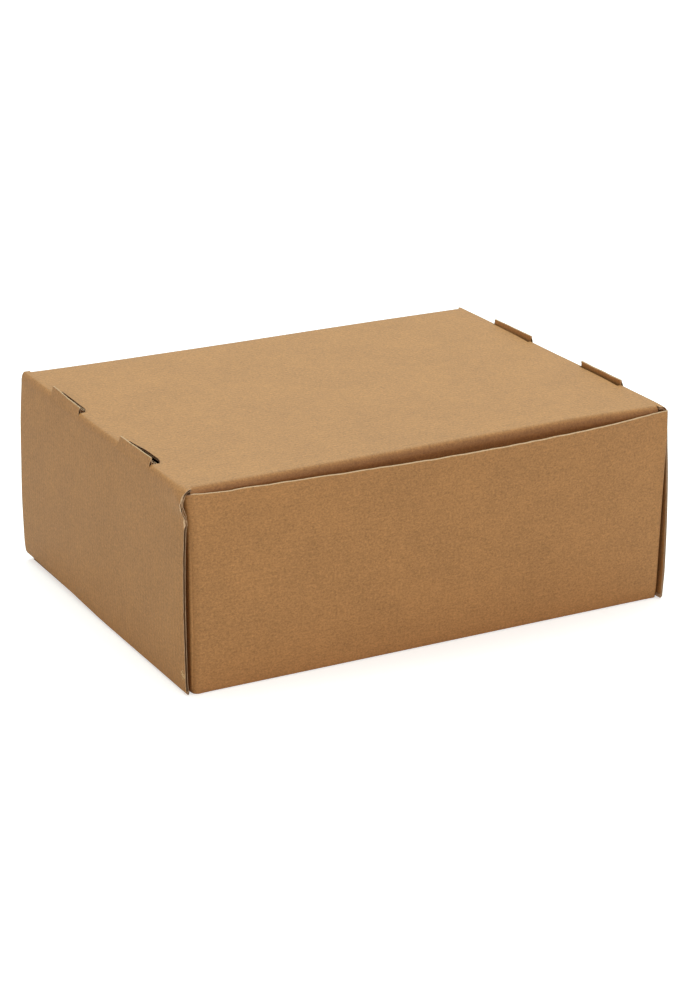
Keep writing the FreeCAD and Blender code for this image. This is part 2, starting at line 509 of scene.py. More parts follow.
# %% Slots, and the rows from front to back
SLOTS = {-1: [(-69.0, -28.2), (28.8, 68.6)], 1: [(-69.0, -27.0), (29.6, 72.4)]}
SLOT_EDGE = {-1: 142.9, 1: 148.2}
FRONT_FOLD = -109.0
BACK_FOLD = 111.4
INNER_WALL_ENDS = (-111.4, 112.9)
ROW_STEP = 3.4


def front_to_back():
    marks = sorted({SLEEVE_FRONT, FRONT_FOLD, BACK_FOLD, BACK, *INNER_WALL_ENDS}
                   | {y for side in SLOTS.values() for slot in side for y in slot})
    places = [marks[0]]
    for mark in marks[1:]:
        start = places[-1]
        parts = max(1, math.ceil((mark - start) / ROW_STEP))
        places += [between(start, mark, k / parts) for k in range(1, parts + 1)]
    return places


def slot_edge(side, y):
    """The cut edge of a slot isn't straight: it narrows to its front end, and one edge is pushed in."""
    if side < 0:
        taper = sum(2.2 * (1 - ease((y - low) / 5.5)) for low, high in SLOTS[side] if low <= y <= high)
        narrow_end = 1.7 * ease((y + 46.0) / 17.0) if y < 0 else 0.0
        return SLOT_EDGE[side] - (1.9 if y < 0 else 0.0) + taper + narrow_end
    open_front = sum(0.9 * math.exp(-(y - low) / 9.0) for low, high in SLOTS[side] if low <= y <= high)
    return SLOT_EDGE[side] - open_front


YS = front_to_back()
print("rows from front to back", len(YS))

# %% [markdown]
# ## One section of the sleeve
#
# The section runs over the outer face, from the middle of the base out over the fold, down the wall, round
# the rim and up the inner wall. The base has sprung up at the back and sunk at the right, which moves its
# points before the fold is drawn.

# %% Heights of the base, and the section at one place
BASE_XS = [0, 14, 28, 42, 56, 70, 84, 98, 110, 120, 128, 134, 139]
WALL_END = {-1: 145.2, 1: 147.0}
INNER_WALL = {-1: 143.4, 1: 144.4}
INNER_TOP = 115.2
LEFT_RIM_ROLL = [(-113, 1.7), (-8, 1.9), (24, 2.6), (50, 3.3), (76, 4.0), (100, 5.2), (114, 5.2)]
RIM_ROLL = 1.8
MID_WALL = 84.0
FOLD_STEPS = 8
UPPER_STEPS = 20
LOWER_STEPS = 22
RIM_STEPS = 5


def base_height(x, y):
    back = ease((y + 20.0) / 134.0)
    sink = 0.9 - 0.5 * back + 0.5 * ease((-35.0 - y) / 60.0)
    spring = back * (0.55 + 1.2 * math.exp(-(x + 150.0) / 45.0)) - ease((x - 90.0) / 60.0) * sink
    spring += 0.00334 * (1.57 * (x + 150.0) - 0.72 * (y + 114.0) - 148.0)
    return HEIGHT + spring + 0.18 * wander(x, y, 0, 70.0, 1.3) + 0.05 * wander(x, y, 0, 17.0, 4.3)


def top_section(side, y, level, low, out):
    """The base, its two shoulder points and the fold. A shoulder point may already lie in the fold."""
    start = out - level
    upright = base_height(side * start, y) - low
    line = [(x, base_height(side * x, y), "base") for x in BASE_XS]
    shoulder = sorted([slot_edge(side, y), WALL_END[side]])
    for x in shoulder:
        if x <= start:
            line.append((x, base_height(side * x, y), "shoulder"))
        else:
            bend = math.asin(min(1.0, (x - start) / level))
            line.append((x, low + upright * math.cos(bend), "shoulder"))
    first, skip = 0.0, 0
    if shoulder[-1] > start:
        first, skip = math.asin(min(1.0, (shoulder[-1] - start) / level)), 0.35
    for k in range(FOLD_STEPS + 1):
        bend = between(first, math.pi / 2, (k + skip) / (FOLD_STEPS + skip))
        line.append((start + level * math.sin(bend), low + upright * math.cos(bend), "fold"))
    return line


def side_section(side, y):
    level, upright = fold_size(side, y)
    low = HEIGHT - upright
    line = top_section(side, y, level, low, wall_out(side, y, low))
    roll = along(LEFT_RIM_ROLL, y) if side < 0 else RIM_ROLL
    ground = between(0.35, RIM_ROLL, ease((roll - RIM_ROLL) / 2.0))
    heights = [between(low, MID_WALL, k / UPPER_STEPS) for k in range(1, UPPER_STEPS + 1)]
    heights += [between(MID_WALL, ground + roll, k / LOWER_STEPS) for k in range(1, LOWER_STEPS + 1)]
    line += [(wall_out(side, y, z), z, "wall") for z in heights]
    foot = wall_out(side, y, ground + roll)
    bends = [math.pi / 2 * k / RIM_STEPS for k in range(1, RIM_STEPS + 1)]
    for bend in bends:
        line.append((foot - roll * (1 - math.cos(bend)), ground + roll * (1 - math.sin(bend)), "rim"))
    inside = INNER_WALL[side]
    line.append((min(149.0 + (foot - 151.8) * 0.4, foot - roll - 0.3), RIM_ROLL, "rim"))
    line.append((inside + FOLD_RADIUS, RIM_ROLL, "rim"))
    for bend in bends:
        line.append((inside + FOLD_RADIUS - FOLD_RADIUS * math.sin(bend),
                     RIM_ROLL + FOLD_RADIUS * (1 - math.cos(bend)), "rim"))
    line += [(inside, between(4.5, INNER_TOP, k / 12), "inner") for k in range(1, 13)]
    return line


print("points in a section", len(side_section(1, 0.0)))

# %% [markdown]
# ## Stack the sections
#
# Stacked from front to back, the sections make one patch for each half of the sleeve. The slots' squares are
# left out, and base and inner wall stop earlier than the side wall, as they do on the die-cut sheet.

# %% Each half of the sleeve
RIGHT_FRONT_LEAN = [(0, 3.8), (10, 2.9), (20, 2.4), (37, 2.2), (57, 1.5), (76, 0.8), (92, 0.2), (104, 0.0)]
FIRST_FOLD = len(BASE_XS) + 2
LIP_JOIN = FIRST_FOLD + 5
INNER_FROM = FIRST_FOLD + FOLD_STEPS + UPPER_STEPS + LOWER_STEPS + RIM_STEPS


def sleeve_patch(side):
    rows, flat, wear_and_shade = [], [], []
    for y in YS:
        line = side_section(side, y)
        row = []
        for x, z, part in line:
            lean = 0.0
            if side > 0 and part in ("wall", "rim"):
                lean = along(RIGHT_FRONT_LEAN, z) * math.exp(-(y - SLEEVE_FRONT) / 9.0)
            row.append(Vector((side * x, y - lean, z)))
        rows.append(row)
        flat.append([(side * run, y) for run in lengths_along(line)])
        wear_and_shade.append([0.07 if part == "fold" else 0.0 for x, z, part in line])
    edge_at = wall_at = len(BASE_XS)
    if SLOT_EDGE[side] < WALL_END[side]:
        wall_at += 1
    else:
        edge_at += 1

    def keep(i, j):
        middle = (YS[i] + YS[i + 1]) / 2
        if edge_at <= j < LIP_JOIN and any(low < middle < high for low, high in SLOTS[side]):
            return False
        return FRONT_FOLD <= middle <= BACK_FOLD or wall_at <= j <= INNER_FROM

    return patch(rows, flat, flip=side < 0, keep=keep, wear_and_shade=wear_and_shade)


halves = {side: sleeve_patch(side) for side in (1, -1)}
print("grid of half a sleeve", len(YS), "by", len(halves[1]["rows"][0]))

# %% [markdown]
# ## Lips and locking tabs
#
# A slot is cut on three sides, so the piece inside it stays upright as a lip in line with the wall. Lips start
# from the wall's own points and weld to them. Of the tabs only pale edges show, so they are a separate piece.

# %% Lips and tabs
LIP_OUT = {-1: 148.9, 1: 150.6}
LIP_TOP = {-1: [(-69, 120.4), (-28, 120.3), (29, 119.8), (69, 121.7)],
           1: [(-69, 120.0), (-27, 120.1), (30, 120.5), (72, 120.4)]}
LIP_WIDTH = 6.4
LIP_STEPS = 4
TAB_FOOT = 112.0
TAB_PLACE = 430.0


def lip_patch(side, low, high):
    grid, flat = [], []
    for k, y in enumerate(YS):
        if not low - 0.01 <= y <= high + 0.01:
            continue
        foot = halves[side]["rows"][k][LIP_JOIN]
        base = halves[side]["flat"][k][LIP_JOIN]
        top = Vector((side * LIP_OUT[side], foot.y, along(LIP_TOP[side], foot.y)))
        top.z += 0.15 * wander(foot.y, side, 0, 9.0, 2.0)
        grid.append([foot.lerp(top, s / LIP_STEPS) for s in range(LIP_STEPS + 1)])
        flat.append([(base[0] - side * LIP_WIDTH * s / LIP_STEPS, base[1]) for s in range(LIP_STEPS + 1)])
    return patch(grid, flat, flip=side > 0)


def tab_patch(side, low, high, rise):
    ys = [y for y in YS if low + 1.0 <= y <= high - 1.0]
    levels = [between(TAB_FOOT, INNER_TOP + rise, s / 2) for s in range(3)]
    grid = [[Vector((side * INNER_WALL[side], y, z)) for z in levels] for y in ys]
    flat = [[(side * (TAB_PLACE + rise * s / 2), y) for s in range(3)] for y in ys]
    return patch(grid, flat, flip=side < 0)


lips = [lip_patch(side, low, high) for side in (-1, 1) for low, high in SLOTS[side]]
print("lips", len(lips), "rows in each", [len(lip["rows"]) for lip in lips])

# %% [markdown]
# ## Front wall, back wall and their ears
#
# The base also turns down at the front and at the back. These walls are patches of the same welded surface.
# Their ears fold back into the side pockets and hardly show, so they are a piece of their own.

# %% A wall across the box, from the base's fold down
EAR_FOOT = 2.1
EAR_TOP = 111.0
EAR_START = 145.2
BACK_WALL_FOOT = 5.6
TURN_STEPS = 8


def wall_place(front):
    """Which way a wall's ears point, the wall's plane, and where the base's fold begins."""
    return (1, TRAY_FRONT, FRONT_FOLD) if front else (-1, BACK, BACK_FOLD)


def cross_wall(front):
    facing, plane, begin = wall_place(front)
    deep = abs(plane - begin)
    upright = 6.0 if front else 5.0
    top = HEIGHT - upright
    foot = EAR_FOOT if front else BACK_WALL_FOOT
    line = []
    for k in range(TURN_STEPS + 1):
        bend = math.pi / 2 * k / TURN_STEPS
        # The front wall's turn and face get high values, up to 0.8: painted shade for the gap behind the flap. The
        # back wall's turn gets 0.1.
        worn_and_shaded = 0.7 * ease(k / TURN_STEPS) if front else 0.1
        line.append((begin - facing * deep * math.sin(bend), top + upright * math.cos(bend), worn_and_shaded))
    line += [(plane, between(top, foot, k / 14), 0.8 if front else 0.0) for k in range(1, 15)]
    if not front:
        for k in range(1, 7):
            bend = math.pi / 2 * k / 6
            line.append((plane - FOLD_RADIUS * (1 - math.cos(bend)),
                         FOLD_RADIUS - FOLD_RADIUS * math.sin(bend), 0.1))
    xs = [-WALL_END[-1], -SLOT_EDGE[-1]] + [-x for x in reversed(BASE_XS[1:])] + BASE_XS + [WALL_END[1]]
    rows = []
    for k, (y, z, worn_and_shaded) in enumerate(line):
        fade = max(0.0, 1 - k / TURN_STEPS) ** 0.5
        rows.append([Vector((x, y, z + (base_height(x, begin) - HEIGHT) * fade)) for x in xs])
    flat = [[(x, begin - facing * run) for x in xs] for run in lengths_along(line)]
    wear_and_shade = [[worn_and_shaded] * len(xs) for y, z, worn_and_shaded in line]

    def keep(i, j):
        return abs(xs[j] + xs[j + 1]) / 2 < EAR_START or (line[i][1] + line[i + 1][1]) / 2 > EAR_TOP

    return patch(rows, flat, flip=front, keep=keep, wear_and_shade=wear_and_shade)


walls = [cross_wall(True), cross_wall(False)]
print("rows in the front wall and the back wall", [len(wall["rows"]) for wall in walls])

# %% The ears, folded back into the side pockets
TRAY_EAR_LENGTH = 75.0
TRAY_EAR_RADIUS = {-1: 1.6, 1: 2.4}


def ear_patch(front, side):
    facing, plane, begin = wall_place(front)
    radius = TRAY_EAR_RADIUS[side]
    half = EAR_START + radius
    levels = [between(EAR_FOOT, EAR_TOP, k / 12) for k in range(13)]
    line = []
    for k in range(7):
        bend = math.pi / 2 * k / 6
        line.append((half - radius + radius * math.sin(bend), plane + facing * radius * (1 - math.cos(bend))))
    line += [(half, plane + facing * between(radius, TRAY_EAR_LENGTH, k / 9)) for k in range(1, 10)]
    grid = [[Vector((side * x, y, z)) for z in levels] for x, y in line]
    flat = [[(side * run, begin - facing * (HEIGHT - z)) for z in levels]
            for run in lengths_along(line, half - radius)]
    return patch(grid, flat, flip=(side > 0) == front)


ear_patches = [ear_patch(front, side) for front in (True, False) for side in (-1, 1)]
print("ears", len(ear_patches), "rows in each", [len(ear["rows"]) for ear in ear_patches])

# %% [markdown]
# ## Build the tray
#
# Handling shows at the cuts: crushed lips, a pressed right front edge, a knocked left front corner. Each
# kind of wear is a small function of the place, which leaves the other edges crisp. The cuts get a darker tone as
# painted shade. The cuts along the tops, on the lips, the flap and the upper right front edge, are spared it and
# stay pale as painted light from above.


# %% The tray, its ears and its locking tabs
def tray_split(p):
    """The front edge of the left wall was knocked, and its liners came apart below the corner."""
    if p.x > -140 or p.y > -112.0:
        return 0.0
    return ease((p.z - 93.0) / 4.0) * ease((114.5 - p.z) / 3.0)


def right_front_edge(p):
    return p.x > 140 and p.y < -112.0


def tray_crushed(p):
    return p.z > LIPS_FROM or (right_front_edge(p) and p.z < 108)


# The pale cuts are spared the painted shade of the other cuts. On the tops this is painted light from above.
def tray_pale(p):
    return p.z > LIPS_FROM or (right_front_edge(p) and p.z > 106)


tray = board_mesh("tray", [halves[1], halves[-1]] + lips + walls, crushed=tray_crushed, split=tray_split,
                  ragged=0.34, pale=tray_pale)
ears = board_mesh("tray_ears", ear_patches, waves=False)
RISES = {-1: (-0.8, 1.2), 1: (-1.0, 1.7)}
tabs = board_mesh("locking_tabs", [tab_patch(side, low, high, rise)
                                   for side in (-1, 1) for (low, high), rise in zip(SLOTS[side], RISES[side])])

# %% [markdown]
# ## The lid
#
# The lid lies flat on the floor, between the back wall's fold and the strip that turns up into the flap. A
# plain even grid is enough for it.

# %% A flat sheet on the floor
LID_HALF = 148.6
LID_BACK = 111.3
STRIP_BACK = -104.0


def lid_patch():
    xs = [between(-LID_HALF, LID_HALF, k / 60) for k in range(61)]
    ys = [between(LID_BACK, STRIP_BACK, k / 40) for k in range(41)]
    rows = [[Vector((x, y, 0.0)) for x in xs] for y in ys]
    flat = [[(x, 340.0 - y) for x in xs] for y in ys]
    return patch(rows, flat)


# %% [markdown]
# ## The front flap's outline
#
# Only its ears hold the flap, so its free edge springs outwards in the middle, more to the right. Its bow is
# a measured table for that edge, scaled down towards the foot, where it can't move.

# %% Tables of the flap, and how far it springs out
BOW = [(-150, 0.0), (-142, -0.2), (-127, 1.8), (-110, 2.6), (-93, 4.4), (-76, 5.3), (-59, 7.0), (-41, 8.0),
       (-24, 9.4), (-5, 10.3), (13, 10.9), (32, 10.9), (51, 10.6), (71, 9.9), (91, 8.7), (113, 6.6), (135, 3.0),
       (147, 1.1), (151, 1.0)]
TOE = [(-150, 0.0), (-90, 0.1), (0, 0.5), (75, 0.8), (150, 0.9)]
FLAP_LOW = 6.0
FLAP_TOP = 113.0
FLAP_HALF = {-1: [(0, 146.3), (60, 146.7), (95, 147.2), (106, 148.2), (113, 148.8)],
             1: [(0, 149.7), (17, 150.1), (47, 150.9), (65, 151.4), (77, 151.8),
                 (90, 152.3), (100, 152.6), (107, 152.5), (113, 152.4)]}
FLAP_ROUND = {-1: [(0, 3.4), (30, 5.0)], 1: [(0, 2.0), (30, 2.0)]}


def flap_bow(x, z):
    sprung = along(BOW, x) * max(0.0, (z - 3.0) / (FLAP_TOP - 3.0)) ** 1.15
    return min(sprung + along(TOE, x) * (1 - z / FLAP_TOP), 0.1 + 0.105 * z)


def flap_half(side, z):
    return along(FLAP_HALF[side], z)


def flap_round(side, z):
    return along(FLAP_ROUND[side], z)


def panel_ends(z):
    return -(flap_half(-1, z) - flap_round(-1, z)), flap_half(1, z) - flap_round(1, z)


print("free edge springs out", round(flap_bow(20, FLAP_TOP), 1), "mm, panel ends", panel_ends(FLAP_TOP))

# %% [markdown]
# ## The flap from ear to ear
#
# At every height the flap is one line from ear to ear, and the stacked lines make the patch. An ear swings
# out of its pocket about the hinge, so its top is cut round about that line.

# %% Lines of the flap, and where each point stands
EAR_HALF = {-1: 148.3, 1: 149.2}
EAR_SETTLE = {-1: 9.0, 1: 5.0}
FLAP_EAR_LENGTH = 70.0
EAR_SWING = 112.4
FLAP_STEPS = 28
FLAP_PLACE = 574.0


def flap_end(side, z):
    """From the tip of an ear to where its corner meets the panel."""
    half, radius = flap_half(side, z), flap_round(side, z)
    part = []
    for k in range(12):
        y = between(FRONT + FLAP_EAR_LENGTH, FRONT + radius, (k / 12) ** 0.6)
        x = between(half, EAR_HALF[side], ease((y - FRONT - radius) / EAR_SETTLE[side]))
        part.append((side * x, y, 0.0))
    for k in range(8):
        bend = math.pi / 2 * k / 8
        x = half - radius + radius * math.cos(bend)
        part.append((side * x, FRONT + radius - radius * math.sin(bend), 0.12))
    return part


def flap_line(z):
    left, right = panel_ends(z)
    line = flap_end(-1, z) + [(between(left, right, k / 100), FRONT, 0.0) for k in range(101)]
    line += reversed(flap_end(1, z))
    sprung = []
    for x, y, worn_and_shaded in line:
        share = 1.0 if abs(y - FRONT) < 0.01 else ease(1 - (y - FRONT) / 8.0)
        sprung.append((x, y - flap_bow(x, z) * share, worn_and_shaded))
    return sprung


def flap_point(x, y, z, share):
    back = y - HINGE.y
    if back > 6.0:
        roof = min(HINGE.z + math.sqrt(max(0.0, EAR_SWING ** 2 - back ** 2)), FLAP_TOP)
        return Vector((x, y, between(FLAP_LOW, roof, share)))
    rise = 0.0
    if share == 1.0 and back < 3:
        rise = 0.30 * wander(x, 0, 0, 11.0, 5.0) + 0.16 * wander(x, 0, 0, 2.6, 6.0)
        rise += 0.7 * math.exp(-((x + 144) / 3) ** 2)
    lean = (z - FLAP_LOW) / (FLAP_TOP - FLAP_LOW) * (0.00524 * (x + 150.0) - 0.49)
    return Vector((x, y, z + rise + lean))


def flap_patch():
    rows, flat, wear_and_shade = [], [], []
    for k in range(FLAP_STEPS + 1):
        share = k / FLAP_STEPS
        z = between(FLAP_LOW, FLAP_TOP, share)
        line = flap_line(z)
        middle = len(line) // 2
        runs = [-run for run in reversed(lengths_along(line[middle::-1])[1:])] + lengths_along(line[middle:])
        rows.append([flap_point(x, y, z, share) for x, y, worn_and_shaded in line])
        flat.append([(run, FLAP_PLACE + z) for run in runs])
        wear_and_shade.append([worn_and_shaded for x, y, worn_and_shaded in line])
    return patch(rows, flat, wear_and_shade=wear_and_shade)


panel = flap_patch()
print("grid of the flap", len(panel["rows"]), "by", len(panel["rows"][0]))

# %% [markdown]
# ## The feet of the flap's corners
#
# Below the panel's first row the corner folds go on, nearly to the floor. They turn with the flap and take
# the same lines at lower heights, so that they weld to it without a step.

# %% Corner feet, the flap and the lid as boards
FOOT_LEVELS = (0.15, 1.3, 2.6, 4.2, FLAP_LOW)


def corner_foot(side):
    count = len(panel["rows"][0])
    picks = range(8, 23) if side < 0 else range(count - 23, count - 8)
    grid, place, worn_and_shaded = [], [], []
    for z in FOOT_LEVELS:
        line = [(x, y + (0.2 if 20 < k < count - 21 else 0.0), w) for k, (x, y, w) in enumerate(flap_line(z))]
        grid.append([Vector((line[k][0], line[k][1], z)) for k in picks])
        place.append([(panel["flat"][0][k][0], FLAP_PLACE + z) for k in picks])
        worn_and_shaded.append([line[k][2] for k in picks])
    return patch(grid, place, wear_and_shade=worn_and_shaded)


# The flap's top cut stays pale as painted light from above; its other cuts get the painted shade.
flap = board_mesh("front_flap_board", [panel, corner_foot(-1), corner_foot(1)],
                  crushed=lambda p: p.z > FLAP_TOP - 1.0 and p.y < -108.0, pale=lambda p: p.z > FLAP_TOP - 1.0,
                  plain=lambda p: p.z < FLAP_LOW + 0.1 and p.y < -100.0)
lid = board_mesh("lid", [lid_patch()])

# %% [markdown]
# ## The strip round the fold
#
# Lid and flap are one sheet in the real box, and only the short stretch round the crease bends. A strip that
# blends from the lid's shape to the flap's, bow and all, closes the crease between them.

# %% The fold strip
CREASE_TURN = 0.8
CREASE_Y = -113.2
STRIP_PLACE = 444.0


def fold_strip():
    left, right = panel_ends(FLAP_LOW)
    rounds = {side: flap_round(side, FLAP_LOW) for side in (-1, 1)}
    steps = [math.sin(math.pi / 2 * k / 8) for k in range(1, 8)]
    xs = ([left - rounds[-1] * e for e in reversed(steps)] + [between(left, right, k / 100) for k in range(101)]
          + [right + rounds[1] * e for e in steps])

    def pull(x):
        radius = rounds[-1 if x < 0 else 1]
        over = max(left - x, x - right, 0.0)
        return radius - math.sqrt(max(0.0, radius ** 2 - over ** 2))

    line = [(y, 0.0) for y in (STRIP_BACK, -106.0, -108.0, -110.0)]
    for k in range(9):
        bend = math.pi / 2 * k / 8
        line.append((CREASE_Y - CREASE_TURN * math.sin(bend), CREASE_TURN - CREASE_TURN * math.cos(bend)))
    line += [(FRONT, 3.4), (FRONT, FLAP_LOW)]
    rows = []
    for y, z in line:
        near = ease((STRIP_BACK - y) / 6.0)
        rows.append([Vector((x, y + near * (pull(x) - flap_bow(x, z)), z)) for x in xs])
    flat = [[(x, STRIP_PLACE + run) for x in xs] for run in lengths_along(line)]
    wear_and_shade = [[0.15 if 3 < k < 13 else 0.0] * len(xs) for k in range(len(line))]

    def keep(i, j):
        return 7 <= j < len(xs) - 8 or line[i + 1][1] < 0.15

    return patch(rows, flat, keep=keep, wear_and_shade=wear_and_shade)


fold = board_mesh("flap_fold", [fold_strip()], plain=lambda p: True, waves=False)

# %% [markdown]
# ## Kraft paper
#
# The liners are cloudy from the pulp, full of short fibres, with the flutes showing through as faint bars.
# The effects are node groups with named inputs, shared by all the papers. A picture would blur from close by.


# %% A few helpers for node groups
def fill(tree, made, values):
    """Sets a node's inputs: a number stays on the socket itself, another node's output is linked."""
    for label, value in values.items():
        if isinstance(value, bpy.types.NodeSocket):
            tree.links.new(value, made.inputs[label])
        else:
            made.inputs[label].default_value = value


def node(tree, kind, values=None, **settings):
    made = tree.nodes.new(kind)
    for label, value in settings.items():
        setattr(made, label, value)
    fill(tree, made, values or {})
    return made


def new_group(name, inputs, outputs):
    group = bpy.data.node_groups.new(name, "ShaderNodeTree")
    for label, kind, value in inputs:
        socket = group.interface.new_socket(label, in_out="INPUT", socket_type=kind)
        if value is not None:
            socket.default_value = value
    for label in outputs:
        group.interface.new_socket(label, in_out="OUTPUT", socket_type="NodeSocketFloat")
    return group, group.nodes.new("NodeGroupInput").outputs, group.nodes.new("NodeGroupOutput")


def math_node(tree, operation, a, b):
    return node(tree, "ShaderNodeMath", {0: a, 1: b}, operation=operation).outputs[0]


def plus(tree, a, b):
    return math_node(tree, "ADD", a, b)


def times(tree, a, b):
    return math_node(tree, "MULTIPLY", a, b)


def centred(tree, value, strength):
    """Moves a value that runs about a half to run about zero."""
    return times(tree, math_node(tree, "SUBTRACT", value, 0.5), strength)


def noise_node(tree, vector, scale, detail, rough):
    return node(tree, "ShaderNodeTexNoise", {"Scale": scale, "Detail": detail, "Roughness": rough,
                                             "Vector": vector}).outputs["Fac"]


def stretched(tree, vector, x, y):
    return node(tree, "ShaderNodeMapping", {"Scale": (x, y, 1.0), "Vector": vector}).outputs["Vector"]


print("node helpers ready")

# %% [markdown]
# ## Grain of the paper
#
# Three sizes of noise make the pulp's clouds, a finer one the fibres, and a sine along the flat sheet the
# flutes. The group gives only a tone, a height and a mask of flecks, so each paper keeps its own colours.


# %% Pulp clouds, fibres, flutes and flecks
def paper_grain():
    group, given, leave = new_group(
        "Paper grain",
        [("Flat place", "NodeSocketVector", None), ("Clouds", "NodeSocketFloat", 1.0),
         ("Fibres", "NodeSocketFloat", 1.0), ("Flutes", "NodeSocketFloat", 1.0)],
        ["Tone", "Height", "Fleck"])
    flat = given["Flat place"]
    wide = noise_node(group, flat, 26.0, 2.0, 0.5)
    cloud = noise_node(group, flat, 130.0, 3.0, 0.6)
    small = noise_node(group, flat, 430.0, 2.0, 0.6)
    fibre = noise_node(group, stretched(group, flat, 0.8, 1.0), 950.0, 3.0, 0.8)
    speck = noise_node(group, stretched(group, flat, 1.0, 0.5), 900.0, 1.0, 0.5)
    clouds = plus(group, centred(group, wide, 0.22), centred(group, cloud, 0.28))
    clouds = times(group, plus(group, clouds, centred(group, small, 0.42)), given["Clouds"])
    fibres = centred(group, fibre, given["Fibres"])
    place = node(group, "ShaderNodeSeparateXYZ", {"Vector": flat})
    turn = times(group, place.outputs["Y"], 2 * math.pi / (FLUTE_PITCH * MM))
    wave = node(group, "ShaderNodeMath", {0: plus(group, turn, times(group, wide, 0.6))}, operation="SINE")
    bars = times(group, wave.outputs[0], given["Flutes"])
    tone = plus(group, plus(group, clouds, times(group, fibres, 1.35)), times(group, bars, 0.03))
    rough = plus(group, times(group, small, 0.25), times(group, fibres, 0.6))
    fill(group, leave, {"Tone": tone, "Height": plus(group, times(group, bars, 0.5), rough),
                        "Fleck": math_node(group, "GREATER_THAN", speck, 0.70)})
    return group


PAPER_GRAIN = paper_grain()
print("nodes in the paper grain", len(PAPER_GRAIN.nodes))

# %% [markdown]
# ## A scuff
#
# Low on the left wall a rub has lifted a few pale fibres. It is a mask round one place of the flat sheet, its
# edge broken up by noise. A decal would do too, but a mask needs no picture.

# %% A few torn fibres within a small round spot of the flat sheet
SCUFF_SIZE = 0.0034


def scuff_spot():
    group, given, leave = new_group(
        "Scuff spot",
        [("Flat place", "NodeSocketVector", None), ("Middle", "NodeSocketVector", (0.0, 0.0, 0.0))], ["Mask"])
    apart = node(group, "ShaderNodeVectorMath", {0: given["Flat place"], 1: given["Middle"]}, operation="DISTANCE")
    near = math_node(group, "SUBTRACT", 1.0, math_node(group, "DIVIDE", apart.outputs["Value"], SCUFF_SIZE))
    torn = noise_node(group, given["Flat place"], 780.0, 2.0, 0.6)
    mask = node(group, "ShaderNodeMapRange", {"From Min": 0.45, "From Max": 0.75,
                                              "Value": plus(group, near, centred(group, torn, 3.2))},
                interpolation_type="SMOOTHSTEP")
    inside = math_node(group, "GREATER_THAN", near, 0.0)
    fill(group, leave, {"Mask": times(group, mask.outputs["Result"], inside)})
    return group


SCUFF_SPOT = scuff_spot()
print("nodes in the scuff", len(SCUFF_SPOT.nodes))

# %% [markdown]
# ## Three papers
#
# The outer liner is the best paper, the inner one shows its flutes more, and a cut is pale, rough fibre. Only
# their numbers differ, so one function makes all three from the same ramp, the same flecks and the same darkening
# for wear and painted shade.

# %% Kraft board, outside, inside and where it was cut
FLECK_TINT = (0.45, 0.38, 0.30, 1.0)
SCUFF_PALE = (0.90, 0.68, 0.36, 1.0)
SCUFF_PLACE = (-0.2545, -0.1105, 0.0)


def mixed(tree, share, a, b, blend="MIX"):
    """Mixes a colour with a fixed one, by the given share."""
    return node(tree, "ShaderNodeMix", {"Factor": share, "A": a, "B": b},
                data_type="RGBA", blend_type=blend).outputs["Result"]


def kraft(name, dark, pale, wear_and_shade_tone, flutes, bump, roughness, scuffed=False):
    material = bpy.data.materials.new(name)
    material.use_nodes = True
    tree = material.node_tree
    place = node(tree, "ShaderNodeUVMap", uv_map="flat_sheet").outputs["UV"]
    grain = node(tree, "ShaderNodeGroup", {"Flutes": flutes, "Flat place": place}, node_tree=PAPER_GRAIN).outputs
    ramp = node(tree, "ShaderNodeValToRGB", {"Fac": plus(tree, grain["Tone"], 0.5)})
    for end, position, colour in zip(ramp.color_ramp.elements, (0.0, 1.0), (dark, pale)):
        end.position = position
        end.color = (*colour, 1.0)
    # The wear_and_painted_shade attribute mixes in the darker tone: a little along worn folds, and painted shade
    # on the front wall behind the flap and on the cuts.
    worn_and_shaded = node(tree, "ShaderNodeAttribute", attribute_name="wear_and_painted_shade")
    colour = mixed(tree, worn_and_shaded.outputs["Fac"], ramp.outputs["Color"], (*wear_and_shade_tone, 1.0), "MULTIPLY")
    colour = mixed(tree, times(tree, grain["Fleck"], 0.25), colour, FLECK_TINT, "MULTIPLY")
    if scuffed:
        spot = node(tree, "ShaderNodeGroup", {"Middle": SCUFF_PLACE, "Flat place": place}, node_tree=SCUFF_SPOT)
        colour = mixed(tree, times(tree, spot.outputs["Mask"], 0.55), colour, SCUFF_PALE)
    relief = node(tree, "ShaderNodeBump", {"Strength": bump, "Distance": 0.00012, "Height": grain["Height"]})
    fill(tree, tree.nodes["Principled BSDF"], {
        "Base Color": colour, "Normal": relief.outputs["Normal"],
        "Roughness": roughness, "Specular IOR Level": 0.42})
    print(name, "nodes", len(tree.nodes))
    return material


OUTSIDE = kraft("kraft_outside", (0.205, 0.093, 0.029), (0.655, 0.305, 0.098), (0.55, 0.44, 0.36),
                flutes=0.5, bump=0.5, roughness=0.60, scuffed=True)
INSIDE = kraft("kraft_inside", (0.21, 0.093, 0.029), (0.62, 0.290, 0.098), (0.55, 0.44, 0.36),
               flutes=0.9, bump=0.5, roughness=0.66)
# The raw edge's darker wear_and_shade_tone is painted shade on the cuts, spared on the pale tops.
RAW = kraft("kraft_raw_edge", (0.56, 0.35, 0.19), (0.84, 0.58, 0.36), (0.42, 0.36, 0.33),
            flutes=0.0, bump=0.8, roughness=0.85)

# %% [markdown]
# ## Dress the pieces and tie them to the bodies
#
# Every piece gets the three papers in the order of its kinds of face. The box rides on the body that stands
# still and the flap on the one that turns. The strip is tied to neither and stays where it was built, round the
# crease.

# %% Papers, bodies and replaced pieces
for thing in (tray, ears, tabs, flap, lid, fold):
    for material in (OUTSIDE, INSIDE, RAW):
        thing.data.materials.append(material)
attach(tray, "box")
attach(ears, "box")
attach(tabs, "box")
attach(lid, "box")
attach(flap, "flap")
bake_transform(fold)
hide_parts("folded_box")
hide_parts("front_flap")
print("papers on each piece", len(tray.data.materials))

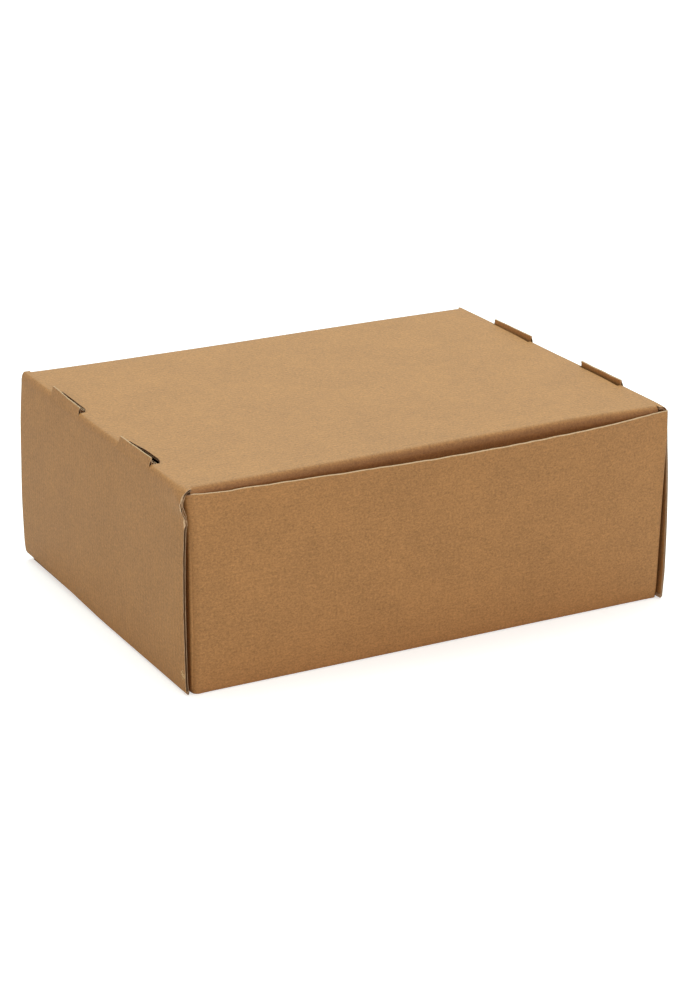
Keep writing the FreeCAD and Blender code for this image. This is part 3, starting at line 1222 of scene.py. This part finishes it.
# %% [markdown]
# ## Floor
#
# A floor that only glows would lose the box's shadow, and one that is only lit would be grey. So the camera
# sees a lit floor with some glow added, and the box gets only the light that plain white throws back.


# %% A white floor that keeps a shadow
def show(tree, share, first, second, output):
    pick = node(tree, "ShaderNodeMixShader", {"Fac": share, 1: first, 2: second})
    fill(tree, output, {"Surface": pick.outputs["Shader"]})


def floor_material():
    material = bpy.data.materials.new("floor_white")
    material.use_nodes = True
    tree = material.node_tree
    shader = tree.nodes["Principled BSDF"]
    fill(tree, shader, {"Base Color": (0.80, 0.80, 0.79, 1.0), "Roughness": 0.9, "Specular IOR Level": 0.1})
    lit = shader.outputs["BSDF"]
    glow = node(tree, "ShaderNodeEmission", {"Strength": 0.55}).outputs["Emission"]
    both = node(tree, "ShaderNodeAddShader", {0: lit, 1: glow}).outputs["Shader"]
    path = node(tree, "ShaderNodeLightPath")
    show(tree, path.outputs["Is Camera Ray"], lit, both, tree.nodes["Material Output"])
    return material


FLOOR_HALF = 6
floor_mesh = bpy.data.meshes.new("floor")
corners = [(x * FLOOR_HALF, y * FLOOR_HALF, 0) for x, y in ((-1, -1), (1, -1), (1, 1), (-1, 1))]
floor_mesh.from_pydata(corners, [], [(0, 1, 2, 3)])
floor = bpy.data.objects.new("floor", floor_mesh)
floor.location.z = -0.0002
bpy.context.scene.collection.objects.link(floor)
floor_mesh.materials.append(floor_material())
print("floor", 2 * FLOOR_HALF, "m wide")

# %% [markdown]
# ## World
#
# Behind the box the picture is pure white, but as much light all round would flatten the shading. The light
# path shows full white to the camera and lights the box with a weaker grey.


# %% White to the camera, plain grey light to the box
def background(tree, strength):
    made = node(tree, "ShaderNodeBackground", {"Color": (1, 1, 1, 1), "Strength": strength})
    return made.outputs["Background"]


world = bpy.data.worlds.new("studio")
bpy.context.scene.world = world
world.use_nodes = True
tree = world.node_tree
tree.nodes.clear()
path = node(tree, "ShaderNodeLightPath").outputs
mirrored = math_node(tree, "MAXIMUM", path["Is Glossy Ray"], path["Is Transmission Ray"])
show(tree, math_node(tree, "MAXIMUM", path["Is Camera Ray"], mirrored),
     background(tree, 0.46), background(tree, 1.0), node(tree, "ShaderNodeOutputWorld"))
print("world nodes", len(tree.nodes))

# %% [markdown]
# ## Lamps
#
# The faces are shaded evenly, so the lamps are broad squares: one high above and weaker ones at the left and
# the front. Their tints come from the faces, cool on top and warm on the left.


# %% Three softboxes
def lamp(name, place, target, size, power, tint):
    data = bpy.data.lights.new(name, "AREA")
    data.shape = "SQUARE"
    data.size = size
    data.energy = power
    data.color = tint
    made = bpy.data.objects.new(name, data)
    made.location = place
    made.rotation_euler = (Vector(target) - Vector(place)).to_track_quat("-Z", "Y").to_euler()
    bpy.context.scene.collection.objects.link(made)
    print(name, power, "W")


lamp("top_softbox", (0.3, 0.5, 2.2), (0, 0, 0.1), 1.8, 41.0, (0.735, 1.0, 1.0))
lamp("left_softbox", (-2.2, -0.3, 1.1), (0, 0, 0.06), 1.5, 7.2, (1.0, 0.93, 0.60))
lamp("front_softbox", (0.3, -2.6, 1.0), (0, 0, 0.06), 1.5, 15.6, (1.0, 0.90, 0.83))

# %% [markdown]
# ## Camera
#
# The camera stands where the box's corners fall on the photograph's. Its matrix is built from three angles,
# because aiming it at a target couldn't hold the corners to a pixel.

# %% Fitted to the box's corners in the photograph
CAMERA_PLACE = (-0.6724, -1.2733, 0.5766)
YAW, PITCH, ROLL = math.radians(27.9), math.radians(20.13), math.radians(0.08)
camera_data = bpy.data.cameras.new("camera")
camera_data.lens = 94.05
camera_data.sensor_width = 36.0
camera_data.clip_end = 50.0
camera = bpy.data.objects.new("camera", camera_data)
ahead = Vector((math.sin(YAW) * math.cos(PITCH), math.cos(YAW) * math.cos(PITCH), -math.sin(PITCH)))
across = Vector((math.cos(YAW), -math.sin(YAW), 0.0))
upward = across.cross(ahead)
right = across * math.cos(ROLL) + upward * math.sin(ROLL)
top = upward * math.cos(ROLL) - across * math.sin(ROLL)
camera.matrix_world = Matrix.Translation(CAMERA_PLACE) @ Matrix(
    ((right.x, top.x, -ahead.x), (right.y, top.y, -ahead.y), (right.z, top.z, -ahead.z))).to_4x4()
bpy.context.scene.collection.objects.link(camera)
bpy.context.scene.camera = camera
bpy.context.scene.view_settings.view_transform = "Standard"
print("camera", round(Vector(CAMERA_PLACE).length, 2), "m from the box")
